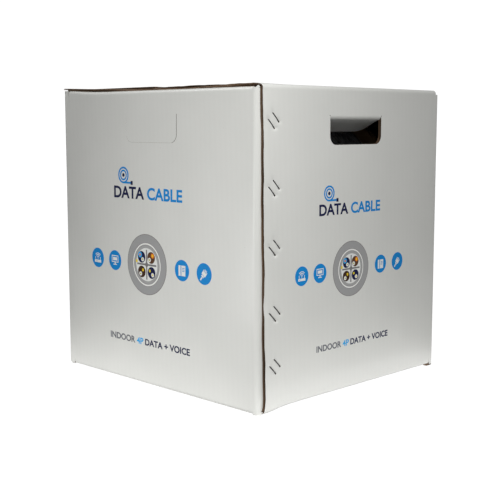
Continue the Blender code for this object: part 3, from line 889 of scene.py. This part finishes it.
def walls():
    """The four walls, with the slots between their flaps."""
    wrap_foot = [(WRAP_END, INNER_FLOOR), (WRAP_END - WRAP_PAST, INNER_FLOOR), (WRAP_START - 0.002, 0.0)]
    left_foot = [(-s, t) for s, t in wrap_foot]
    wrap_lines = (WRAP_START - 0.002, WRAP_END, FINE)
    left_lines = (-WRAP_END, -WRAP_START + 0.002, FINE)

    outline = wall_outline("front", (-FLOOR_END, 0), (-INNER_ROOT, 0), -WRAP_END, FRONT_END,
                           (left_foot, ()), (True, False))
    wall("front", outline, circle(*CORNER_DOT, 0.0008, 12), s_fine=[left_lines])

    stitch_rows = [(low[2] - 0.003, high[2] + 0.003, 0.0021) for low, high in STITCHES]
    punctures = []
    for low, high in STITCHES:
        s, t = np.array(stitch_ends(low, high)[1]) + (0.0006, -0.0006)
        punctures.append(circle(s - float(raw_edge_shift(s, t)), t, 0.0010, 12))
    outline = wall_outline("right", (0, SIDE_FLOOR_HALF), (0, 0), RAW_EDGE, WALL_END,
                           ((), [(WALL_END, INNER_FLOOR)]))
    wall("right", outline, *punctures, s_fine=[(RAW_EDGE, RAW_EDGE + 0.036, 0.0018)], t_fine=stitch_rows)

    outline = wall_outline("back", (-FLOOR_END, FLOOR_END), (-INNER_ROOT, INNER_ROOT), -WRAP_END, WRAP_END,
                           (left_foot, wrap_foot[::-1]), (True, True))
    wall("back", outline, s_fine=[left_lines, wrap_lines])

    outline = wall_outline("left", (-SIDE_FLOOR_HALF, SIDE_FLOOR_HALF), (0, LEFT_RELIEF), -WALL_END, WALL_END,
                           ([(-WALL_END, INNER_FLOOR)], [(WALL_END, INNER_FLOOR)]), (False, True))
    wall("left", outline)


def stitch_tab():
    """The front wall's board, round the near corner and on behind the right wall."""
    high = box("stitch_tab")[1]
    end = TAB_FLAT_END + high[1] + HALF_DEPTH - TAB_BEND
    floor = INNER_FLOOR + BOARD + EAR_GAP
    outline = [
        (FRONT_END, 0), (TAB_FLAT_END - 0.001, 0), (TAB_FLAT_END + 0.0005, floor), (end, floor + 0.012),
        (end, high[2] - 0.012), (TAB_FLAT_END + 0.0005, high[2]), (TAB_FLAT_END - 0.0010, 0.3455),
        (TAB_START + 0.0058, 0.3485), (TAB_START + 0.0030, 0.3462), (FRONT_END, TOP_EDGE)]
    board("stitch_tab_board", TAB.place, [outline], "carton", ["stitch_tab"],
          s_fine=[(FRONT_END, TAB_FLAT_END + 0.002, FINE)])


def carton():
    """The four walls, the stitching tab and all the flaps."""
    walls()
    stitch_tab()
    top_flap("front", -INNER_ROOT, FRONT_END, INNER_TIP, INNER_TIP_HALF)
    top_flap("back", -INNER_ROOT, INNER_ROOT, INNER_TIP, INNER_TIP_HALF)
    reach = HALF_WIDTH - box("top_flap_right")[0][0]
    top_flap("right", RAW_EDGE, WALL_END, reach)
    top_flap("left", -WALL_END, LEFT_RELIEF, reach)
    floor_flap("front", FLOOR_HALF, (-FLOOR_END, FRONT_END))
    floor_flap("back", FLOOR_HALF, (-FLOOR_END, FLOOR_END))
    floor_flap("right", SIDE_FLOOR_HALF, (RAW_EDGE, None))
    floor_flap("left", SIDE_FLOOR_HALF)
    hand_flap("front")
    hand_flap("right", REST_PUSH)
    hand_flap("back")
    hand_flap("left")


def stitches():
    """Flat wire staples: a slanted crown, two legs through both boards, and tails clinched inside."""
    inside_x = TAB.place(np.array([TAB_FLAT_END + 0.02]), np.array([MIDDLE]), np.array([BOARD]))[0][0]
    for name, limits in zip(STITCH_NAMES, STITCHES):
        ends = np.array(stitch_ends(*limits))
        across = (ends[1] - ends[0]) / np.linalg.norm(ends[1] - ends[0])
        crown_x = RIGHT.place(ends[:, 0], ends[:, 1], np.zeros(2))[:, 0].mean() + 0.00045
        path = []
        for end, way in zip(ends, (across, -across)):
            leg = end + way * 0.0004
            spots = [(inside_x - 0.0004, leg + way * d) for d in (0.0035, 0.002, 0.0008)]
            spots += [(x, leg) for x in (inside_x + 0.0008, crown_x - 0.0012, crown_x - 0.0004)]
            spots += [(crown_x - 0.0001, leg + way * 0.0003), (crown_x, leg + way * 0.0008)]
            stretch = [(x, *spot) for x, spot in spots]
            path += stretch[::-1] if path else stretch
        tube(path, STITCH_WIRE).build(name + "_wire", [WIRE], "carton", 60, "stitch_wire", [name])


# ---- prints

INK_STEP = 0.00004
WORD_GAP = 0.26
INKS = {name: ink("ink_" + name, *rgb) for name, rgb in {
    "grey": (146, 146, 146), "outline": (104, 100, 98), "braid": (150, 150, 149), "white": (214, 215, 210),
    "core": (208, 209, 206), "bars": (112, 111, 111), "navy": (18, 24, 62), "blue": (16, 122, 190),
    "sky": (52, 150, 205), "brown": (84, 58, 40), "umber": (60, 40, 28), "orange": (226, 120, 34),
    "yellow": (214, 190, 40), "olive": (168, 164, 44), "text": (96, 98, 104),
}.items()}
INK_NAMES = list(INKS)
FRONT_LAYOUT = {
    "mark": (-0.0720, 0.0529, 0.2217, 0.0138), "ring": (-0.0113, 0.1449, 0.036),
    "discs": (-0.1075, -0.0723, 0.0514, 0.0883), "disc_height": 0.1444, "disc_radius": 0.01220,
    "line": (-0.0843, 0.0632, 0.0478, 0.0077),
}
RIGHT_LAYOUT = {
    "mark": (-0.0668, 0.0418, 0.2085, 0.0123), "ring": (-0.0109, 0.1445, 0.0319),
    "discs": (-0.0947, -0.0647, 0.0442, 0.0772), "disc_height": 0.1445, "disc_radius": 0.0108,
    "line": (-0.0693, 0.0608, 0.0553, 0.0071),
}


def arc_band(s, t, inner, outer, start, end, count=14):
    angle = np.radians(np.linspace(start, end, count))
    spokes = np.column_stack([np.cos(angle), np.sin(angle)])
    return np.vstack([spokes * outer, spokes[::-1] * inner]) + (s, t)


def router_icon():
    shapes = [[rectangle(0, -0.36, 1.06, 0.26), *(circle(x, -0.36, 0.05, 10) for x in (-0.32, -0.14))]]
    shapes += [[rectangle(x, -0.08, 0.07, 0.32)] for x in (-0.4, 0.4)]
    shapes += [[circle(0, -0.06, 0.07, 12)]]
    return shapes + [[arc_band(0, -0.06, r, r + 0.075, 40, 140)] for r in (0.16, 0.32, 0.48)]


def monitor_icon():
    screen = [rectangle(0, 0.14, 1.06, 0.70), rectangle(0, 0.14, 0.90, 0.54)]
    return [screen, [rectangle(0, 0.14, 0.66, 0.32)], [rectangle(0, -0.29, 0.14, 0.18)],
            [rectangle(0, -0.42, 0.56, 0.09)]]


def cabinet_icon():
    slots = [rectangle(0.20, y, 0.34, 0.06) for y in (0.22, 0.08, -0.06)]
    return [[rectangle(-0.33, -0.02, 0.28, 0.98)], [rectangle(0.20, -0.02, 0.56, 0.98), *slots]]


def plug_icon():
    turn = math.radians(-40)
    c, d = math.cos(turn), math.sin(turn)
    parts = [[(0, 0.08, 0.56, 0.52)] + [(x, 0.24, 0.05, 0.16) for x in (-0.16, -0.05, 0.06, 0.17)],
             [(0, -0.30, 0.34, 0.16)], [(0, -0.60, 0.14, 0.36)], [(0, 0.40, 0.30, 0.06)]]
    return [[rectangle(c * x - d * y, d * x + c * y, w, h, turn) for x, y, w, h in part] for part in parts]


ICONS = (router_icon, monitor_icon, cabinet_icon, plug_icon)
PAIRS = (  # place of the pair, its ink, then its coloured and its white conductor: offset, radius, inks
    ((-0.260, 0.236), "navy", (-0.075, 0.07, 0.098, "sky", "orange"),
     (0.055, -0.075, 0.070, "white", "olive")),
    ((0.232, 0.244), "brown", (0.075, 0.07, 0.082, "orange", "yellow"),
     (-0.085, -0.075, 0.072, "white", "olive")),
    ((-0.258, -0.250), "umber", (0.062, 0.06, 0.050, "yellow", "orange"),
     (-0.06, -0.072, 0.072, "white", "olive")),
    ((0.245, -0.250), "navy", (-0.085, 0.062, 0.048, "yellow", "olive"),
     (0.055, -0.068, 0.072, "white", "yellow")),
)


class Drawing:
    """What is printed on one wall, as thin sheets of ink that follow the board."""

    def __init__(self, side):
        self.side, self.piece = side, Piece()

    def lay(self, cells, ink_name, layer):
        slot = INK_NAMES.index(ink_name)
        self.piece.sheet(cells, self.side.place, -INK_STEP * (layer + 1), -INK_STEP * layer, slot, slot)

    def shape(self, at, scale, ink_name, layer, *loops):
        """loops are drawn about their own origin, in units of scale."""
        loops = [np.array(loop) * scale + at for loop in loops]
        low, high = np.min(loops[0], 0), np.max(loops[0], 0)
        self.lay(fill(loops, lines(low[0], high[0], 0.008), lines(low[1], high[1], 0.008)), ink_name, layer)

    def rings(self, at, scale, *rings):
        for inner, outer, ink_name in rings:
            hole = [circle(0, 0, inner, 96)] if inner else []
            self.shape(at, scale, ink_name, 0, circle(0, 0, outer, 96), *hole)

    def words(self, words, start, end, base, cap):
        """Words in their inks, stretched to run from start to end with capitals cap high."""
        shapes, reach = [], 0.0
        for word, ink_name in words:
            points, triangles = letter_shapes(word)
            points = points - (points[:, 0].min(), 0)
            shapes.append((points + (reach, 0), triangles, ink_name))
            reach += points[:, 0].max() + WORD_GAP
        scale = np.array([(end - start) / (reach - WORD_GAP), cap / shapes[0][0][:, 1].max()])
        for points, triangles, ink_name in shapes:
            self.lay((points * scale + (start, base), triangles, rim_of(triangles)), ink_name, 0)


def letter_shapes(word):
    """The filled outlines of a word, one unit high, as points and triangles."""
    curve = bpy.data.curves.new("letters", "FONT")
    curve.body = word
    curve.resolution_u, curve.offset = 5, 0.028
    holder = bpy.data.objects.new("letters", curve)
    bpy.context.scene.collection.objects.link(holder)
    bpy.context.view_layer.update()
    mesh = bpy.data.meshes.new_from_object(holder.evaluated_get(bpy.context.evaluated_depsgraph_get()))
    mesh.calc_loop_triangles()
    points = np.array([v.co[:2] for v in mesh.vertices])
    triangles = np.array([t.vertices[:] for t in mesh.loop_triangles])
    bpy.data.objects.remove(holder)
    bpy.data.curves.remove(curve)
    bpy.data.meshes.remove(mesh)
    return points, triangles


def printed(name, layout):
    """The wall's generic print: a cable coil mark with plain words, a cable's section, icons and a line."""
    drawing = Drawing(SIDES[name])
    start, end, base, cap = layout["mark"]
    drawing.words([("DATA", "navy"), ("CABLE", "blue")], start, end, base, cap)
    coil = (start + cap * 1.35, base + cap * 1.95)
    drawing.rings(coil, cap, (0.56, 0.72, "blue"), (0.32, 0.46, "blue"), (0.0, 0.16, "navy"))
    drawing.shape(coil, cap, "blue", 1, rectangle(0.5, -0.64, 1.0, 0.16))
    drawing.shape(coil, cap, "navy", 1, rectangle(1.14, -0.64, 0.28, 0.34))

    *at, radius = layout["ring"]
    section = partial(drawing.shape, at, radius)
    drawing.rings(at, radius, (0.982, 1.0, "outline"), (0.725, 0.982, "grey"), (0.71, 0.725, "bars"),
                  (0.655, 0.71, "white"), (0.64, 0.655, "bars"), (0.545, 0.64, "braid"), (0.0, 0.545, "core"))
    section("bars", 1, rectangle(0, 0, 0.98, 0.056))
    section("bars", 2, rectangle(0, 0, 0.98, 0.056, QUARTER))
    section("bars", 3, rectangle(0, 0, 0.15, 0.15, QUARTER / 2))
    section("yellow", 1, rectangle(-0.515, 0.085, 0.085, 0.095))
    for (x, y), ink_name, *conductors in PAIRS:
        section(ink_name, 1, circle(x, y, 0.192, 40))
        for dx, dy, size, insulation, core in conductors:
            section(insulation, 2, circle(x + dx, y + dy, size, 24))
            section(core, 3, circle(x + dx, y + dy, size * 0.42, 14))

    for disc, icon in zip(layout["discs"], ICONS):
        disc_shape = partial(drawing.shape, (disc, layout["disc_height"]), layout["disc_radius"])
        disc_shape("blue", 0, circle(0, 0, 1, 64))
        for loops in icon():
            disc_shape("white", 1, *loops)
    drawing.words([("INDOOR", "text"), ("4P", "sky"), ("DATA + VOICE", "navy")], *layout["line"])
    drawing.piece.build(f"{name}_print", list(INKS.values()), "carton", 60)


# ---- inside

CABLE = 0.0035
RIDGE_POINTS = 7
TURN_STEPS = 72


def supports():
    """Folded board cradles that hold the axle at both ends."""
    for name, out in (("front", (0, 1, 0)), ("back", (0, -1, 0))):
        low, high = box(f"axle_support_{name}")
        start = high[0] - CORNER
        end = start + CORNER * QUARTER + high[1] - low[1] - CORNER
        side = Side(out, max(low @ out, high @ out), start, start)
        shoulder = high[2] - 0.02
        outline = rounded([(-end, low[2]), (end, low[2]), (end, shoulder), (start, high[2]),
                           (-start, high[2]), (-end, shoulder)], [0, 0, 0.006, 0.01, 0.01, 0.006])
        fold_end = start + CORNER * QUARTER + 0.001
        folds = [(start - 0.001, fold_end, FINE), (-fold_end, -start + 0.001, FINE)]
        board(f"axle_support_{name}_board", side.place, [outline, circle(0, AXLE_HEIGHT, 0.021, 72)],
              "carton", [f"axle_support_{name}"], [SUPPORT_KRAFT] * 3, "kraft_board", folds)


def ring(node_name, made, inner, chamfer, segments, material, body, slot):
    """A disc or tube of the CAD node's size about the axle, with its edges eased."""
    low, high = box(node_name)
    outer, near, far, c = high[0], low[1], high[1], chamfer
    profile = [(inner, near + c), (inner + c, near), (outer - c, near), (outer, near + c), (outer, far - c),
               (outer - c, far), (inner + c, far), (inner, far - c)]
    turned(profile, segments).build(f"{node_name}_{made}", [material], body, 30, slot, [node_name])


def winding():
    """The cable: ridges for the turns beneath, and the outer layer as one helix."""
    low, high = box("cable_winding")
    outer, inner, width = high[0], box("reel_core")[1][0] + 0.0003, high[1] - low[1]
    ridge = outer - 3 * CABLE - 0.0006
    profile = [(inner, low[1]), (ridge, low[1])]
    count = int(width / (2 * CABLE))
    for i in range(count):
        middle = low[1] + width / count * (i + 0.5)
        for k in range(RIDGE_POINTS):
            angle = math.pi * (k + 0.5) / RIDGE_POINTS
            profile.append((ridge + CABLE * math.sin(angle), middle - CABLE * math.cos(angle) * 0.98))
    profile += [(ridge, high[1]), (inner, high[1])]
    turned(profile, 160).build("cable_inner_turns", [JACKET], "reel", 60, "cable_jacket")

    rng = random.Random(11)
    reach = high[1] - CABLE - 0.0002
    turns = int(2 * reach / (2 * CABLE + 0.0001))
    phases = [rng.uniform(0, 2 * math.pi) for _ in range(4)]
    at = np.arange(turns * TURN_STEPS + 1) / TURN_STEPS
    angle = at * 2 * math.pi
    y = -reach + at / turns * 2 * reach + 0.00012 * np.sin(angle * 0.73 + phases[0])
    wobble = 0.0004 * np.sin(angle * 0.37 + phases[1]) * np.sin(angle * 1.61 + phases[2])
    radius = outer - CABLE + wobble - 0.0004
    path = np.column_stack([radius * np.cos(angle), y, AXLE_HEIGHT + radius * np.sin(angle)])
    tube(path, CABLE).build("cable_outer_turns", [JACKET], "reel", 60, "cable_jacket", ["cable_winding"])


def reel():
    """Plywood flanges, paper tubes, the wound cable, and the CAD nodes that only need a finish."""
    for name in ("front", "back"):
        ring(f"reel_flange_{name}", "ply", 0.021, 0.0007, 192, PLYWOOD, "reel", "plywood")
    ring("axle_tube", "paper", 0.016, 0.0004, 96, PAPER_TUBE, "carton", "tube_board")
    ring("reel_core", "paper", 0.045, 0.0004, 128, PAPER_TUBE, "reel", "tube_board")
    winding()
    finishes = {"cable_last_turn": JACKET, "end_tape": TAPE}
    finishes.update({f"tie_{part}_{i}": ZINC for part in ("bolt", "washer", "nut") for i in (1, 2, 3)})
    for name, material in finishes.items():
        for slot in frame["nodes"][name].material_slots:
            slot.material = material


# ---- stage, light and camera

CAMERA_AT = (0.8849, -0.8834, 0.3079)
CAMERA_AHEAD = (-0.70163, 0.7013, -0.12606)
LENS = 70.93
GLOW_LENGTH = 0.38


def staged(name, centre, size, material, rays, turn=0.0):
    """A flat rectangle of the studio, seen only by the rays named."""
    mesh = bpy.data.meshes.new(name)
    x, y = size[0] / 2, size[1] / 2
    mesh.from_pydata([(s, t, 0) for s, t in quad(-x, x, -y, y)], [], [(0, 1, 2, 3)])
    mesh.materials.append(material)
    made = bpy.data.objects.new(name, mesh)
    made.location, made.rotation_euler = centre, (0, 0, turn)
    bpy.context.scene.collection.objects.link(made)
    seen_only_by(made, rays)


def stage_material(name, grey, glow):
    return principled(name, Base_Color=(grey, grey, grey, 1), Roughness=0.9,
                      Emission_Color=(1, 1, 1, 1), Emission_Strength=glow)[0]


def seen_only_by(made, rays):
    for ray in ("camera", "diffuse", "glossy", "transmission", "shadow", "volume_scatter"):
        setattr(made, "visible_" + ray, ray in rays)


def area_light(name, at, towards, size, power, shines=True):
    data = bpy.data.lights.new(name, "AREA")
    data.shape, data.size, data.energy = "DISK", size, power
    made = bpy.data.objects.new(name, data)
    made.location = at
    made.rotation_euler = (Vector(towards) - Vector(at)).to_track_quat("-Z", "Y").to_euler()
    bpy.context.scene.collection.objects.link(made)
    made.visible_camera = False
    made.visible_glossy = shines


def glow_strip(name, width, low, high):
    """The bright floor beside one wall, which only lights: low and high are its strength at its ends."""
    side, name = SIDES[name], "floor_glow_" + name
    centre = side.out * (side.offset + width / 2 + 0.001)
    material, tree, shader = principled(name, Base_Color=(0, 0, 0, 1), Emission_Color=(1, 1, 1, 1))
    along = node(tree, "SeparateXYZ", {0: placed(tree)}).outputs[0]
    strength = between(tree, along, -GLOW_LENGTH / 2, GLOW_LENGTH / 2, low, high)
    tree.links.new(strength, shader.inputs["Emission Strength"])
    turn = math.atan2(side.right[1], side.right[0])
    staged(name, (centre[0], centre[1], -0.0003), (GLOW_LENGTH, width), material, ["diffuse"], turn)


def studio():
    """A white sweep that the camera sees, a bright floor round the walls, and soft lamps."""
    scene = bpy.context.scene
    scene.view_settings.view_transform = "Standard"
    world = bpy.data.worlds.new("studio")
    world.use_nodes = True
    world.node_tree.nodes["Background"].inputs[0].default_value = (1, 1, 1, 1)
    world.node_tree.nodes["Background"].inputs[1].default_value = 0.46
    scene.world = world

    backdrop = stage_material("backdrop_white", 0, 1.05)
    staged("floor_seen", (0, 0, -0.0006), (30, 30), backdrop, ["camera"])
    bpy.ops.mesh.primitive_uv_sphere_add(segments=32, ring_count=16, radius=14)
    dome = bpy.context.object
    dome.name = "backdrop_dome"
    dome.data.materials.append(backdrop)
    seen_only_by(dome, ["camera"])
    rays = ["diffuse", "glossy", "shadow"]
    staged("floor_pale", (0, 0, -0.0005), (6, 6), stage_material("floor_pale", 0.10, 0.0), rays)
    staged("floor_card", (HALF_WIDTH + 0.035, -0.02, -0.0003), (0.07, 0.5), stage_material("card", 0.8, 0.9),
           ["glossy"])
    staged("floor_glow_under", (0, 0, -0.0002), (2 * HALF_WIDTH, 2 * HALF_DEPTH),
           stage_material("floor_glow_under", 0, 1.3), ["diffuse"])
    glow_strip("front", 0.08, 1.14, 0.68)
    glow_strip("right", 0.15, 0.86, 0.86)
    glow_strip("back", 0.08, 0.8, 0.8)
    glow_strip("left", 0.08, 0.8, 0.8)
    staged("card_above", (-0.25, -0.55, 0.95), (1.0, 0.5), stage_material("card_above", 0, 3.5), ["glossy"])

    area_light("front", (-0.085, -0.651, 0.10), (0.196, -0.564, -0.016), 0.4, 1.50)
    area_light("right", (0.723, -0.479, 0.709), (0.581, -0.60, 0.60), 0.4, 8.3, False)
    area_light("rear", (-0.95, 1.0, 0.40), (0, 0, 0.20), 0.7, 7.0, False)


def camera():
    data = bpy.data.cameras.new("camera")
    data.lens, data.sensor_width = LENS, 36
    made = bpy.data.objects.new("camera", data)
    made.location = CAMERA_AT
    made.rotation_euler = Vector(CAMERA_AHEAD).to_track_quat("-Z", "Y").to_euler()
    bpy.context.scene.collection.objects.link(made)
    bpy.context.scene.camera = made


camera()
studio()
carton()
stitches()
for wall_name, wall_layout in zip(SIDES, (FRONT_LAYOUT, RIGHT_LAYOUT) * 2):
    printed(wall_name, wall_layout)
supports()
reel()
